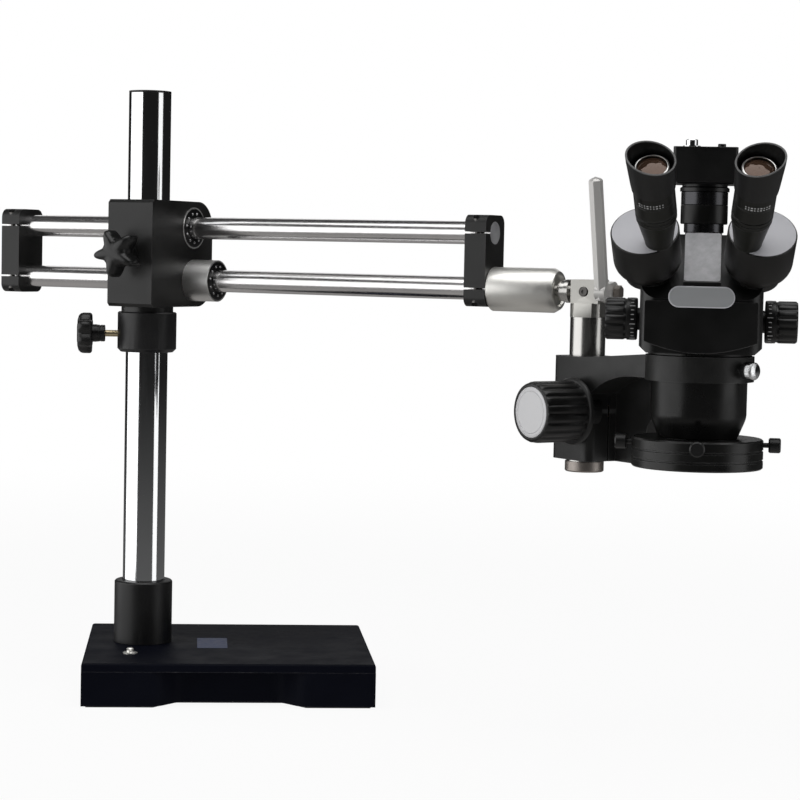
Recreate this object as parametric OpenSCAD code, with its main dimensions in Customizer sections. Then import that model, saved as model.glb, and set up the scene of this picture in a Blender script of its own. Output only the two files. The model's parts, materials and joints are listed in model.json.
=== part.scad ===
// Trinocular zoom stereo microscope on a twin-rod boom stand.
// Millimetres. Origin: on the post's axis, on the surface that the base stands on.
// +X runs along the base to the right, +Y to the back, +Z up.

/* [Base] */
// Length of the base plate along X
base_w = 257; // [230:1:300]
// Depth of the base plate along Y
base_d = 216; // [200:1:260]
// Height of the base plate's top face
base_top = 39.2; // [34:0.2:44]
// Distance from the post's axis to the base's left edge
base_left = 50.4; // [45:0.2:60]
// Distance from the post's axis to the base's front edge
base_front = 118; // [110:1:130]
// Thickness of the rubber sheet under the base
pad_t = 1.5; // [1:0.5:3]

/* [Post] */
// Diameter of the post
post_dia = 38.1; // [35:0.1:40]
// Height of the post's top above the floor
post_top = 539.8; // [500:1:620]

/* [Boom] */
// Swing of the boom from the +X direction towards the front, in degrees
boom_yaw = 32; // [0:1:60]
// Distance from the post's axis back to the plane of the two rods
rod_offset = 40; // [40:0.5:42]
// Height of the upper rod's axis
upper_rod_z = 419.2; // [418:0.2:421]
// Height of the lower rod's axis
lower_rod_z = 371.2; // [370:0.2:372]
// Diameter of the two rods
rod_dia = 20; // [19:0.5:20]
// Station of the rods' rear end, along the boom from the post
rod_rear = -180; // [-220:1:-170]
// Station of the rods' front end
rod_front = 328.5; // [328.5:1:380]

/* [Tilt and focus] */
// Diameter of the drop pin
pin_dia = 30; // [29:0.5:30]
// Distance from the drop pin's axis to the microscope's axis
arm_reach = 144; // [142:1:150]
// Direction of the arm from +X towards the front, in degrees
arm_yaw = 61.5; // [55:0.5:70]
// Diameter of the focus knobs
focus_knob_dia = 51; // [44:1:52]

/* [Microscope head] */
// Direction that the head faces, from straight ahead, in degrees
head_yaw = 12.6; // [0:0.2:20]
// Diameter of the barrel that the holder ring grips
barrel_dia = 76; // [74:1:76]
// Width of the zoom body
body_w = 95.6; // [94:0.2:100]
// Diameter of the prism pods
pod_dia = 53.4; // [50:0.2:53.6]
// Height of the pods' axis above horizontal, in degrees
eye_incline = 45; // [45]
// Outward lean of each eyepiece axis, in degrees
eye_spread = 4.5; // [3:0.5:5]
// Outer diameter of the ring light
ring_light_dia = 104; // [96:1:104]

/* [Hidden] */
$fn = 96;

// Clearances: a running fit on the radius, and the gap between faces that pass each other
run_fit = 0.05;
gap = 0.3;

post_r = post_dia / 2;
rod_r = rod_dia / 2;

// Height collar and carriage
collar_r = 26.7;
collar_low = 305.6;
collar_high = 342;
washer_high = 346.6;
collar_knob_z = 321.8;
carriage_low = 346.4;
carriage_high = upper_rod_z + 24.3;
carriage_half = 23.6;
carriage_front = -30;
carriage_round = 24.3;
carriage_rear = 8;
bearing_r = 19;
bearing_wall = 3;
bearing_nose = 50;
bushing_r = 20.6;
star_z = 395.2;
star_turn = 172;

// Yokes, swivel housing and tilt head
yoke_t = 20;
yoke_depth = 38;
yoke_low = lower_rod_z - 15.4;
yoke_high = upper_rod_z + 15.4;
swivel_end = 390;
spindle_r = 5;
spindle_end = 405;
pin_station = 416.7;
knuckle_front = 430;
lever_t = 10.5;
lever_lean = 12;
lever_offset = 18;
lever_hub_r = 9;
lever_lug_r = 6.5;
pin_r = pin_dia / 2;
pin_head = 349.6;
pin_low = 228;

// Focus housing
block_half = 22;
block_back = -20;
block_front = 31;
block_low = 230;
block_high = 317;
arm_top = 323.5;
ring_low = 304.5;
ring_high = 324.5;
ring_r = 43;
pinion_x = 21;
pinion_z = 272;
shaft_r = 4;
tooth_pitch = PI;
pinion_teeth = 15;
pinion_r = pinion_teeth / 2;
hub_end = 29;
lock_angle = 8;

// Head
barrel_r = barrel_dia / 2;
body_low = 327;
body_front = -42;
body_back = 46;
body_top = 420;
shoulder = 411.6;
spine_half = 14.5;
spine_rise = 424.7;
shell = 3;
zoom_y = 20;
zoom_z = 351.6;
zoom_shaft_r = 3;
zoom_pinion_r = 6;
nose_r = 30;
nose_low = 243;
tube_y = 18;
pod_r = pod_dia / 2;
pod_l = 41.6;
pod_at = [-45, -50, 421.6];
tube_at = [11.5, -12.5, 0];
tube_l = 30;
light_low = 235.5;
light_high = 259;
light_bore = nose_r + 0.6;
light_screw_z = 254.4;
light_screw_angles = [-90, 0, 180];

// ---- frames ------------------------------------------------------------------------------------

// The boom's frame: x along the boom, y to the back, z up
module boom_frame() rotate([0, 0, -boom_yaw]) children();

// The arm's frame: z is the drop pin's axis and x points at the microscope's axis
module arm_frame()
    boom_frame() translate([pin_station, rod_offset, 0]) rotate([0, 0, boom_yaw - arm_yaw]) children();

// The head's frame: z is the microscope's axis, y points away from the user
module head_frame()
    arm_frame() translate([arm_reach, 0, 0]) rotate([0, 0, arm_yaw - head_yaw]) children();

// The left pod's frame: z is the pod's axis, pointing at the user's eye, and x points inwards
module left_pod_frame()
    head_frame() translate(pod_at) rotate([eye_incline, 0, 0]) rotate([0, -eye_spread, 0]) children();

module right_pod_frame()
    head_frame() mirror([1, 0, 0])
        translate(pod_at) rotate([eye_incline, 0, 0]) rotate([0, -eye_spread, 0]) children();

// ---- helpers -----------------------------------------------------------------------------------

// A tube or ring along z
module ring(r_out, r_in, low, high)
    translate([0, 0, low]) difference() {
        cylinder(h = high - low, r = r_out);
        translate([0, 0, -1]) cylinder(h = high - low + 2, r = r_in);
    }

// A disc or rod along z
module rod(r, low, high) translate([0, 0, low]) cylinder(h = high - low, r = r);

// Turns a shape drawn along z to lie along x
module along_x() rotate([0, 90, 0]) children();

// Turns a shape drawn along z to lie along y
module along_y() rotate([-90, 0, 0]) children();

// A rectangle from one corner to the other, with round corners
module round_rect(x0, y0, x1, y1, r) {
    translate([x0 + r, y0]) square([x1 - x0 - 2 * r, y1 - y0]);
    translate([x0, y0 + r]) square([x1 - x0, y1 - y0 - 2 * r]);
    for (x = [x0 + r, x1 - r], y = [y0 + r, y1 - r]) translate([x, y]) circle(r);
}

// A solid of revolution from a list of [radius, height] points
module turned(points) rotate_extrude() polygon(points);

// A wheel outline with lobes
module lobed(r, lobes, lobe_r) {
    circle(r - lobe_r * 0.55);
    for (i = [0 : lobes - 1]) rotate([0, 0, i * 360 / lobes]) translate([r - lobe_r, 0]) circle(lobe_r);
}

// ---- stand -------------------------------------------------------------------------------------

recess_depth = 22;
recess_x = [16, 142];
recess_slant = 19;
lip_t = 7.5;
edge_bevel = 2;

// Outline of the plate seen from above, with the finger recess in its front edge
module plate_outline() {
    right = base_w - base_left;
    back = base_d - base_front;
    polygon([
        [-base_left, -base_front], [recess_x[0], -base_front],
        [recess_x[0] + recess_slant, recess_depth - base_front],
        [recess_x[1] - recess_slant, recess_depth - base_front],
        [recess_x[1], -base_front], [right, -base_front], [right, back], [-base_left, back]]);
}

module base_plate() color([0.07, 0.07, 0.09]) {
    low = pad_t;
    lip = base_top - lip_t;
    difference() {
        union() {
            translate([0, 0, low]) linear_extrude(lip - low) plate_outline();
            intersection() {
                translate([0, base_d - base_front, 0]) rotate([90, 0, 0])
                    linear_extrude(base_d) polygon([
                        [-base_left, lip], [base_w - base_left, lip],
                        [base_w - base_left, base_top - edge_bevel],
                        [base_w - base_left - edge_bevel, base_top],
                        [edge_bevel - base_left, base_top], [-base_left, base_top - edge_bevel]]);
                translate([-base_left, 0, 0]) rotate([90, 0, 90])
                    linear_extrude(base_w) polygon([
                        [-base_front, lip], [base_d - base_front, lip],
                        [base_d - base_front, base_top - edge_bevel],
                        [base_d - base_front - edge_bevel, base_top],
                        [edge_bevel - base_front, base_top], [-base_front, base_top - edge_bevel]]);
            }
        }
        rod(post_r, 12, base_top + 1);
        translate([stud_at[0], stud_at[1], 0]) rod(stud_shank_r, base_top - 9, base_top + 1);
    }
}

module base_pad() color([0.1, 0.1, 0.1])
    linear_extrude(pad_t) inset_outline(4);

// The plate's outline, pulled in by a margin
module inset_outline(m) {
    right = base_w - base_left - m;
    back = base_d - base_front - m;
    front = m - base_front;
    polygon([
        [m - base_left, front], [recess_x[0] - m, front],
        [recess_x[0] + recess_slant - m, recess_depth - base_front + m],
        [recess_x[1] - recess_slant + m, recess_depth - base_front + m],
        [recess_x[1] + m, front], [right, front], [right, back], [m - base_left, back]]);
}

module post_socket() color([0.06, 0.06, 0.06])
    turned([[post_r, base_top], [26.4, base_top], [26.4, 95], [25, 96.4], [post_r, 96.4]]);

module post() color([0.85, 0.85, 0.87]) ring(post_r, 15, 12, post_top);

module post_cap() color([0.08, 0.08, 0.08]) {
    rod(post_r, post_top, post_top + 2);
    rod(15, post_top - 12, post_top);
}

stud_at = [-9.5, -65.5];
stud_shank_r = 2;

module ground_stud() color([0.8, 0.7, 0.45]) translate([stud_at[0], stud_at[1], base_top]) {
    turned([[0, 0], [6.5, 0], [6.5, 0.8], [5.5, 1.3], [3.4, 1.3], [3, 2.6], [3.4, 4], [2.4, 5], [0, 5.2]]);
    rod(stud_shank_r, -8, 0.5);
}

// ---- height collar -----------------------------------------------------------------------------

module safety_collar() color([0.06, 0.06, 0.06]) difference() {
    turned([
        [post_r + run_fit, collar_low], [collar_r - 3, collar_low], [collar_r, collar_low + 3],
        [collar_r, collar_high - 1], [collar_r - 1, collar_high], [post_r + run_fit, collar_high]]);
    translate([0, 0, collar_knob_z]) along_x() rod(3 + run_fit, -collar_r - 1, 0);
}

module thrust_washer() color([0.12, 0.12, 0.12])
    ring(23.5, post_r + run_fit, collar_high, washer_high);

module collar_knob() color([0.05, 0.05, 0.05]) translate([0, 0, collar_knob_z]) along_x() {
    difference() {
        union() {
            translate([0, 0, -63.2]) linear_extrude(13.6) lobed(18.5, 6, 7);
            rod(8, -50, -37.9);
        }
        rod(3, -55, -37);
    }
}

module collar_screw() color([0.75, 0.6, 0.3])
    translate([0, 0, collar_knob_z]) along_x() rod(3, -55, -post_r - gap);

// ---- carriage ----------------------------------------------------------------------------------

// Outline of the block seen from its end: flat front, large round corners at the rear
module carriage_outline() {
    low = lower_rod_z - carriage_round;
    high = upper_rod_z + carriage_round;
    edge = 3;
    rear = rod_offset + carriage_rear;
    polygon([
        [carriage_front, low + edge], [carriage_front + edge, low], [rear, low],
        [rear, high], [carriage_front + edge, high], [carriage_front, high - edge]]);
    translate([rear - 1, lower_rod_z]) square([carriage_round + 1, upper_rod_z - lower_rod_z]);
    for (z = [lower_rod_z, upper_rod_z]) translate([rear, z]) circle(carriage_round);
}

module carriage_block() color([0.07, 0.07, 0.07]) boom_frame() difference() {
    translate([-carriage_half, 0, 0]) rotate([90, 0, 90])
        linear_extrude(2 * carriage_half) carriage_outline();
    rod(bushing_r, carriage_low - 5, carriage_high + 5);
    for (z = [lower_rod_z, upper_rod_z]) translate([0, rod_offset, z]) along_x()
        rod(bearing_r, -carriage_half - 1, carriage_half + 1);
    translate([0, 0, star_z]) along_y() rod(5 + run_fit, carriage_front - 1, 0);
}

module swivel_bushings() color([0.7, 0.55, 0.3]) boom_frame()
    for (low = [lower_rod_z - carriage_round, upper_rod_z + carriage_round - 16])
        ring(bushing_r, post_r + run_fit, low, low + 16);

module bearing_sleeve(z, nose) boom_frame() translate([0, rod_offset, z]) along_x()
    ring(bearing_r, bearing_r - bearing_wall, -carriage_half, nose);

module upper_bearing() color([0.6, 0.6, 0.62]) bearing_sleeve(upper_rod_z, carriage_half + 0.4);
module lower_bearing() color([0.8, 0.8, 0.82]) bearing_sleeve(lower_rod_z, bearing_nose);

module ball_retainers() color([0.15, 0.15, 0.15]) boom_frame() {
    inner = rod_r + run_fit;
    outer = bearing_r - bearing_wall;
    for (z = [lower_rod_z, upper_rod_z]) translate([0, rod_offset, z]) along_x() {
        ring(outer, inner, -22, -4);
        ring(outer, inner, z == lower_rod_z ? 26 : 4, z == lower_rod_z ? 47 : 22);
    }
}

module star_knob() color([0.04, 0.04, 0.04]) boom_frame() translate([0, 0, star_z]) along_y() {
    translate([0, 0, -58.5]) linear_extrude(18) rotate(star_turn) lobed(22, 5, 8.5);
    turned([[0, -60], [9, -60], [11, -58.5], [0, -58.5]]);
    rod(9, -40.5, -31);
    rod(5, -40.5, -post_r - gap);
}

// ---- boom --------------------------------------------------------------------------------------

module boom_rod(z) boom_frame() translate([0, rod_offset, z]) along_x() rod(rod_r, rod_rear, rod_front);

module upper_rod() color([0.85, 0.85, 0.87]) boom_rod(upper_rod_z);
module lower_rod() color([0.85, 0.85, 0.87]) boom_rod(lower_rod_z);

yoke_screw_y = rod_offset - 14.5;
yoke_screw_r = 2.2;

module yoke(start) boom_frame() difference() {
    translate([start, 0, 0]) rotate([90, 0, 90]) linear_extrude(yoke_t)
        round_rect(rod_offset - yoke_depth / 2, yoke_low, rod_offset + yoke_depth / 2, yoke_high, 8);
    for (z = [lower_rod_z, upper_rod_z]) {
        translate([0, rod_offset, z]) along_x() rod(rod_r, start - 1, start + yoke_t + 1);
        translate([start - 1, rod_offset - yoke_depth / 2 - 1, z - 0.8])
            cube([yoke_t + 2, yoke_depth / 2, 1.6]);
    }
    for (side = [-1, 1]) translate([start + yoke_t / 2, yoke_screw_y, 0]) {
        mid = side < 0 ? lower_rod_z : upper_rod_z;
        rod(yoke_screw_r, mid - 10, mid + 10);
        rod(4, side < 0 ? yoke_low - 1 : mid + 8, side < 0 ? mid - 8 : yoke_high + 1);
    }
}

module rear_yoke() color([0.07, 0.07, 0.07]) yoke(rod_rear);
module front_yoke() color([0.07, 0.07, 0.07]) yoke(rod_front - yoke_t);

module yoke_screws() color([0.25, 0.25, 0.26]) boom_frame()
    for (start = [rod_rear, rod_front - yoke_t], side = [-1, 1])
        translate([start + yoke_t / 2, yoke_screw_y, 0]) {
            mid = side < 0 ? lower_rod_z : upper_rod_z;
            rod(yoke_screw_r, mid - 9, mid + 9);
            if (side < 0) rod(4, mid - 12, mid - 8); else rod(4, mid + 8, mid + 12);
        }

module tilt_axis() boom_frame() translate([0, rod_offset, lower_rod_z]) along_x() children();

module swivel_housing() color([0.82, 0.82, 0.84]) tilt_axis() turned([
    [spindle_r + run_fit, rod_front], [19, rod_front], [19, swivel_end - 4], [16.5, swivel_end],
    [14, swivel_end], [13, swivel_end - 2], [spindle_r + run_fit, swivel_end - 2]]);

// ---- tilt head ---------------------------------------------------------------------------------

module tilt_spindle() color([0.6, 0.6, 0.62]) tilt_axis() {
    rod(spindle_r, rod_front + 9, spindle_end);
    ring(9, spindle_r, swivel_end + 1.2, swivel_end + 7);
    ring(10, spindle_r, swivel_end + 7, swivel_end + 10.5);
}

flat_y = 12;

module tilt_knuckle() color([0.65, 0.64, 0.62]) boom_frame() difference() {
    union() {
        translate([spindle_end, rod_offset - flat_y, pin_head + 11.5])
            cube([knuckle_front - spindle_end, 2 * flat_y, 20.2]);
        intersection() {
            translate([pin_station, rod_offset, 0]) rod(pin_r + 0.3, pin_head, pin_head + 12);
            translate([pin_station - 20, rod_offset - flat_y - 1, pin_head])
                cube([20 + knuckle_front - pin_station, 2 * flat_y + 2, 12]);
        }
    }
    translate([0, rod_offset, lower_rod_z]) along_x() rod(4, pin_station + 4, knuckle_front + 1);
    translate([pin_station, 0, lower_rod_z]) along_y()
        rod(4.2, rod_offset - flat_y - 1, rod_offset - flat_y + 3);
}

// The drop pin, with a straight rack cut in its arm side
rack_teeth = 17;
rack_half = 3.8;
rack_pitch_x = pinion_x - pinion_r;
tooth_h = 0.9;

module drop_pin() color([0.8, 0.8, 0.8]) arm_frame() {
    difference() {
        rod(pin_r, pin_low, pin_head);
        translate([rack_pitch_x - tooth_h - 0.2, -rack_half, pinion_z - 4.5 * tooth_pitch])
            cube([6, 2 * rack_half, rack_teeth * tooth_pitch]);
        translate([0, 0, pin_low - 1]) cylinder(h = 13, r = 3);
    }
    for (i = [0 : rack_teeth - 1])
        translate([0, -rack_half, pinion_z + (i - 4) * tooth_pitch]) rotate([-90, 0, 0])
            linear_extrude(2 * rack_half) polygon([
                [rack_pitch_x - tooth_h - 0.6, 0.8], [rack_pitch_x + tooth_h, 0.32],
                [rack_pitch_x + tooth_h, -0.32], [rack_pitch_x - tooth_h - 0.6, -0.8]]);
}

module stop_disc() color([0.5, 0.45, 0.42]) arm_frame() {
    turned([[0, 219], [15.5, 219], [16.5, 220], [16.5, pin_low], [0, pin_low]]);
    rod(3, pin_low, pin_low + 11);
}

module lever_bolt() color([0.45, 0.45, 0.46]) tilt_axis() {
    rod(4, pin_station + 4, knuckle_front + lever_t + 2);
    translate([0, 0, knuckle_front + lever_t + 2 * gap]) cylinder(h = 5, r = 6, $fn = 6);
}

// A lug on the tilt axis with a hexagonal bar standing on its near end
module clamp_lever() color([0.72, 0.71, 0.69]) boom_frame()
    translate([knuckle_front + gap + lever_t / 2, rod_offset, lower_rod_z]) difference() {
        union() {
            translate([gap - lever_t / 2, 0, 0]) along_x() linear_extrude(lever_t - 2 * gap) {
                circle(lever_hub_r);
                translate([-lever_lug_r, -lever_offset]) square([2 * lever_lug_r, lever_offset]);
                translate([0, -lever_offset]) circle(lever_lug_r);
            }
            translate([0, -lever_offset, 0]) rotate([lever_lean, 0, 0]) intersection() {
                rotate([0, 0, 30]) cylinder(h = 97.6, r = lever_t / 2 / cos(30), $fn = 6);
                turned([[0, 0], [6.2, 0], [6.2, 93.6], [3, 97.6], [0, 97.6]]);
            }
        }
        along_x() rod(4 + run_fit, -lever_t, lever_t);
    }

// ---- focus -------------------------------------------------------------------------------------

arm_end = 104;
gusset_r = 97;
gusset_x = 87;

// Side view of the arm and of the curved gusset under its near side
module arm_profile() polygon(concat(
    [[block_front - 9, 280], [block_front - 9, block_high], [arm_end, arm_top], [arm_end, ring_low]],
    [for (a = [90 : 5 : 125]) [gusset_x + gusset_r * cos(a), ring_low - gusset_r + gusset_r * sin(a)]]));

// Side view of the far web, which comes down beside the drop pin's block
module web_profile() polygon([
    [block_front - 9, block_low], [block_front + 34, block_low], [block_front + 41, 262],
    [arm_end - 9, 290], [arm_end, ring_low], [arm_end, arm_top], [block_front - 9, block_high]]);

module upright(y0, y1) translate([0, y1, 0]) rotate([90, 0, 0]) linear_extrude(y1 - y0) children();

module focus_housing() color([0.08, 0.08, 0.08]) arm_frame() difference() {
    union() {
        translate([0, 0, block_low]) linear_extrude(block_high - block_low)
            round_rect(block_back, -block_half, block_front, block_half, 8);
        upright(-block_half, 9) arm_profile();
        upright(8, block_half) web_profile();
        translate([arm_reach, 0, 0]) rod(ring_r, ring_low, ring_high);
        for (side = [-1, 1]) translate([pinion_x, 0, pinion_z]) along_y()
            rod(14, side < 0 ? -hub_end : 10, side < 0 ? -10 : hub_end);
    }
    rod(pin_r + run_fit, block_low - 1, arm_top);
    translate([arm_reach, 0, 0]) rod(barrel_r + run_fit, ring_low - 1, ring_high + 1);
    translate([pinion_x, 0, pinion_z]) along_y() {
        rod(10, -7.5, 7.5);
        rod(7, -hub_end - 1, hub_end + 1);
    }
    translate([10, -0.75, block_low - 1]) cube([block_front, 1.5, 55]);
    translate([arm_reach, 0, (ring_low + ring_high) / 2]) rotate([0, 0, lock_angle]) along_x()
        rod(3 + run_fit, 30, ring_r + 1);
}

module pinion_bushings() color([0.7, 0.55, 0.3]) arm_frame() translate([pinion_x, 0, pinion_z])
    along_y() for (side = [-1, 1])
        ring(7, shaft_r + run_fit, side < 0 ? -hub_end : 8, side < 0 ? -8 : hub_end);

// A spur wheel drawn around z, with room between its teeth for a rack to roll
module spur(teeth, low, high) {
    r = teeth / 2;
    rod(r - tooth_h - 0.2, low, high);
    for (i = [0 : teeth - 1]) rotate([0, 0, i * 360 / teeth]) translate([0, 0, low])
        linear_extrude(high - low) polygon([
            [r - tooth_h - 0.6, -0.62], [r + tooth_h - 0.3, -0.3],
            [r + tooth_h - 0.3, 0.3], [r - tooth_h - 0.6, 0.62]]);
}

module pinion_shaft() color([0.6, 0.6, 0.62]) arm_frame() translate([pinion_x, 0, pinion_z])
    along_y() {
        rod(shaft_r, -70, 70);
        spur(pinion_teeth, -3.5, 3.5);
    }

// A focus knob along z: flange at its inner end, ribbed grip, shallow dished cap
module focus_knob() difference() {
    r = focus_knob_dia / 2;
    turned([
        [0, hub_end + gap], [28, hub_end + gap], [28, 32.5], [r - 1, 33.5], [r, 35], [r, 66],
        [r - 1.5, 70], [19.5, 74], [18.5, 73.4], [0, 74.4]]);
    rod(shaft_r, hub_end - 1, 70);
}

module focus_knobs() color([0.06, 0.06, 0.06]) arm_frame() translate([pinion_x, 0, pinion_z]) {
    rotate([90, 0, 0]) focus_knob();
    rotate([-90, 0, 0]) focus_knob();
}

module ring_lock_screw() color([0.85, 0.85, 0.85])
    arm_frame() translate([arm_reach, 0, (ring_low + ring_high) / 2]) rotate([0, 0, lock_angle])
        along_x() {
            rod(3, barrel_r + gap, 47);
            turned([[0, 46], [6, 46], [7, 47], [7, 56], [6, 57], [0, 57]]);
        }

// ---- zoom body ---------------------------------------------------------------------------------

// Side view of the body: upright front, 45 degree shoulder for the pods, flat top
module body_side(inset, rise) polygon([
    [body_front + inset, body_low + inset], [body_front + inset, body_front + rise - inset * 0.4],
    [body_top - rise, body_top - inset], [body_back - inset, body_top - inset],
    [body_back - inset, body_low + inset]]);

module body_plan(inset)
    round_rect(-body_w / 2 + inset, body_front + inset, body_w / 2 - inset, body_back - inset, 14 - inset);

module body_solid(inset) intersection() {
    translate([-body_w / 2, 0, 0]) rotate([90, 0, 90]) linear_extrude(body_w) body_side(inset, shoulder);
    translate([0, 0, body_low - 1]) linear_extrude(body_top - body_low + 2) body_plan(inset);
    translate([0, body_back + 1, 0]) rotate([90, 0, 0]) linear_extrude(body_back - body_front + 2)
        polygon([
            [-body_w / 2 + 6, body_low], [body_w / 2 - 6, body_low], [body_w / 2, body_low + 5],
            [body_w / 2, body_top + 1], [-body_w / 2, body_top + 1], [-body_w / 2, body_low + 5]]);
}

module zoom_body() color([0.06, 0.06, 0.06]) {
    head_frame() difference() {
        union() {
            body_solid(0);
            translate([-spine_half, 0, 0]) rotate([90, 0, 90])
                linear_extrude(2 * spine_half) polygon([
                    [body_front, 360], [body_front, body_front + spine_rise],
                    [body_top + 1.5 - spine_rise, body_top + 1.5], [body_back - 6, body_top + 1.5],
                    [body_back - 6, 400]]);
            pod_seat();
            mirror([1, 0, 0]) pod_seat();
        }
        body_solid(shell);
        rod(33, body_low - 1, body_low + shell + 1);
        translate([0, tube_y, 0]) rod(12, body_top - shell - 1, body_top + 3);
        beam_hole();
        mirror([1, 0, 0]) beam_hole();
        translate([0, zoom_y, zoom_z]) along_x() rod(zoom_shaft_r + run_fit, -body_w, body_w);
    }
}

module pod_local() translate(pod_at) rotate([eye_incline, 0, 0]) rotate([0, -eye_spread, 0]) children();
module pod_seat() pod_local() rod(19, -pod_l - 5, -pod_l - gap);
module beam_hole() pod_local() rod(9, -pod_l - 16, -pod_l);

module objective_barrel() color([0.06, 0.06, 0.06]) head_frame() difference() {
    turned([
        [33, body_low], [barrel_r + 3, body_low], [barrel_r + 3, ring_high + gap],
        [barrel_r, ring_high + gap], [barrel_r, 278], [37.6, 275], [36.4, 271.5],
        [31.5, 259.6], [nose_r, 259.6], [nose_r, nose_low], [24, nose_low], [24, nose_low + 6],
        [22.5, nose_low + 6], [22.5, nose_low + 9], [20, nose_low + 9], [20, 279], [0, 279],
        [0, 284], [33, 284]]);
    for (side = [-1, 1]) translate([side * 10, 0, 278]) rotate([0, side * eye_spread, 0])
        rod(9, -2, 8);
}

module objective_lenses() color([0.6, 0.75, 0.8, 0.4]) head_frame()
    for (side = [-1, 1]) translate([side * 10, 0, 278]) rotate([0, side * eye_spread, 0])
        turned([[0, 0.6], [4, 0.9], [8.9, 2], [8.9, 5], [4, 6], [0, 6.4]]);

module objective_window() color([0.6, 0.75, 0.8, 0.4]) head_frame()
    rod(22.4, nose_low + 6.3, nose_low + 9);

module phototube() color([0.7, 0.7, 0.72]) head_frame() translate([0, tube_y, 0]) difference() {
    top = body_top + 1.5;
    turned([
        [11.9, top], [16, top], [16, 428], [18.7, 428.5], [18.7, 443.5], [18.3, 444.5], [18.3, 454],
        [13, 454.5], [13, 461], [11.9, 461]]);
}

module video_camera() color([0.05, 0.05, 0.06]) head_frame() translate([0, tube_y, 461])
    linear_extrude(28) round_rect(-25.4, -25.4, 25.4, 25.4, 3);

module camera_connectors() color([0.8, 0.8, 0.8]) head_frame() translate([0, tube_y, 489]) {
    translate([-11.3, 8, 0]) {
        rod(7, 0, 2);
        rod(4.8, 2, 7);
    }
    translate([12.6, 4, 0]) rod(3.2, 0, 3.6);
}

// ---- zoom drive --------------------------------------------------------------------------------

module zoom_shaft() color([0.6, 0.6, 0.62]) head_frame() translate([0, zoom_y, zoom_z]) along_x() {
    rod(zoom_shaft_r, -73, 73);
    spur(zoom_pinion_r * 2, -4, 4);
}

module zoom_knob() difference() {
    turned([
        [0, body_w / 2 + gap], [9, body_w / 2 + gap], [9, 50.6], [16, 50.6], [17, 51.6], [17, 74.8],
        [15.5, 76.3], [0, 76.3]]);
    rod(zoom_shaft_r, body_w / 2 - 1, 73);
}

module zoom_knobs() color([0.05, 0.05, 0.05]) head_frame() translate([0, zoom_y, zoom_z]) {
    rotate([0, 90, 0]) zoom_knob();
    rotate([0, -90, 0]) zoom_knob();
}

lens_pair_x = 15;

module zoom_carriage() color([0.5, 0.5, 0.52]) head_frame() {
    face = zoom_y - zoom_pinion_r;
    difference() {
        union() {
            translate([-27, -11, zoom_z + 1]) cube([54, 22, 5]);
            translate([-5, 8, zoom_z - 18]) cube([10, face - 1.3 - 8, 36]);
        }
        for (side = [-1, 1]) translate([side * lens_pair_x, 0, 0]) rod(8, zoom_z, zoom_z + 7);
    }
    for (i = [-5 : 5]) translate([-5, 0, zoom_z + (i + 0.5) * tooth_pitch])
        rotate([0, 90, 0]) linear_extrude(10) polygon([
            [-0.7, face - 1.4], [-0.28, face + tooth_h - 0.3], [0.28, face + tooth_h - 0.3],
            [0.7, face - 1.4]]);
}

module zoom_lenses() color([0.6, 0.75, 0.8, 0.4]) head_frame()
    for (side = [-1, 1]) translate([side * lens_pair_x, 0, zoom_z + 1.6])
        turned([[0, -0.6], [4, -0.3], [7.9, 0.8], [7.9, 3.4], [4, 4.3], [0, 4.6]]);

// ---- pods and eyepieces ------------------------------------------------------------------------

module pod() difference() {
    turned([
        [9, -pod_l], [pod_r - 7, -pod_l], [pod_r - 3.5, -pod_l + 1], [pod_r - 1, -pod_l + 3.5],
        [pod_r, -pod_l + 7], [pod_r, -1], [pod_r - 1, 0], [0, 0],
        [0, -2.5], [pod_r - 2.5, -2.5], [pod_r - 2.5, -pod_l + 8], [pod_r - 6, -pod_l + 4],
        [9, -pod_l + 4]]);
    translate(tube_at) rod(8, -4, 1);
}

module prism() translate([5, -5, -pod_l + 4 + gap]) rotate([0, 0, -45]) translate([0, 7, 0]) rotate([90, 0, 0])
    linear_extrude(14) polygon([[-12, 0], [12, 0], [0, 12]]);

module eyetube() translate(tube_at)
    turned([[9, 0], [10.7, 0], [11.2, 4], [15.2, 26], [15.6, 27], [15.6, tube_l], [12, tube_l], [9, 4]]);

module eyepiece() translate(tube_at)
    turned([
        [11.5, tube_l + gap], [15.8, tube_l + gap], [15.8, 58], [13.6, 58], [13.6, 77], [12.4, 78],
        [11.6, 77.5], [11.6, 74], [11, 73.5], [11, 40], [11.5, 36]]);

module eye_lens() translate(tube_at)
    turned([[0, 74.3], [11.5, 74], [11.5, 76], [8, 77.2], [4, 77.8], [0, 78]]);

cup_slant = 15;

module eyecup() translate(tube_at) difference() {
    turned([
        [13.6, 58], [16.6, 58], [17.2, 64], [18.6, 86], [18.7, 93], [17.3, 93], [17, 80], [15.8, 68],
        [13.6, 67]]);
    translate([0, 0, 86.5]) rotate([0, cup_slant, 0]) translate([-40, -40, 0]) cube([80, 80, 30]);
}

module left_pod() color([0.09, 0.09, 0.09]) left_pod_frame() pod();
module left_prism() color([0.7, 0.8, 0.85, 0.4]) left_pod_frame() prism();
module left_eyetube() color([0.07, 0.07, 0.07]) left_pod_frame() eyetube();
module left_eyepiece() color([0.08, 0.08, 0.08]) left_pod_frame() eyepiece();
module left_eye_lens() color([0.6, 0.45, 0.3, 0.5]) left_pod_frame() eye_lens();
module left_eyecup() color([0.05, 0.05, 0.05]) left_pod_frame() eyecup();
module right_pod() color([0.09, 0.09, 0.09]) right_pod_frame() pod();
module right_prism() color([0.7, 0.8, 0.85, 0.4]) right_pod_frame() prism();
module right_eyetube() color([0.07, 0.07, 0.07]) right_pod_frame() eyetube();
module right_eyepiece() color([0.08, 0.08, 0.08]) right_pod_frame() eyepiece();
module right_eye_lens() color([0.6, 0.45, 0.3, 0.5]) right_pod_frame() eye_lens();
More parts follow.
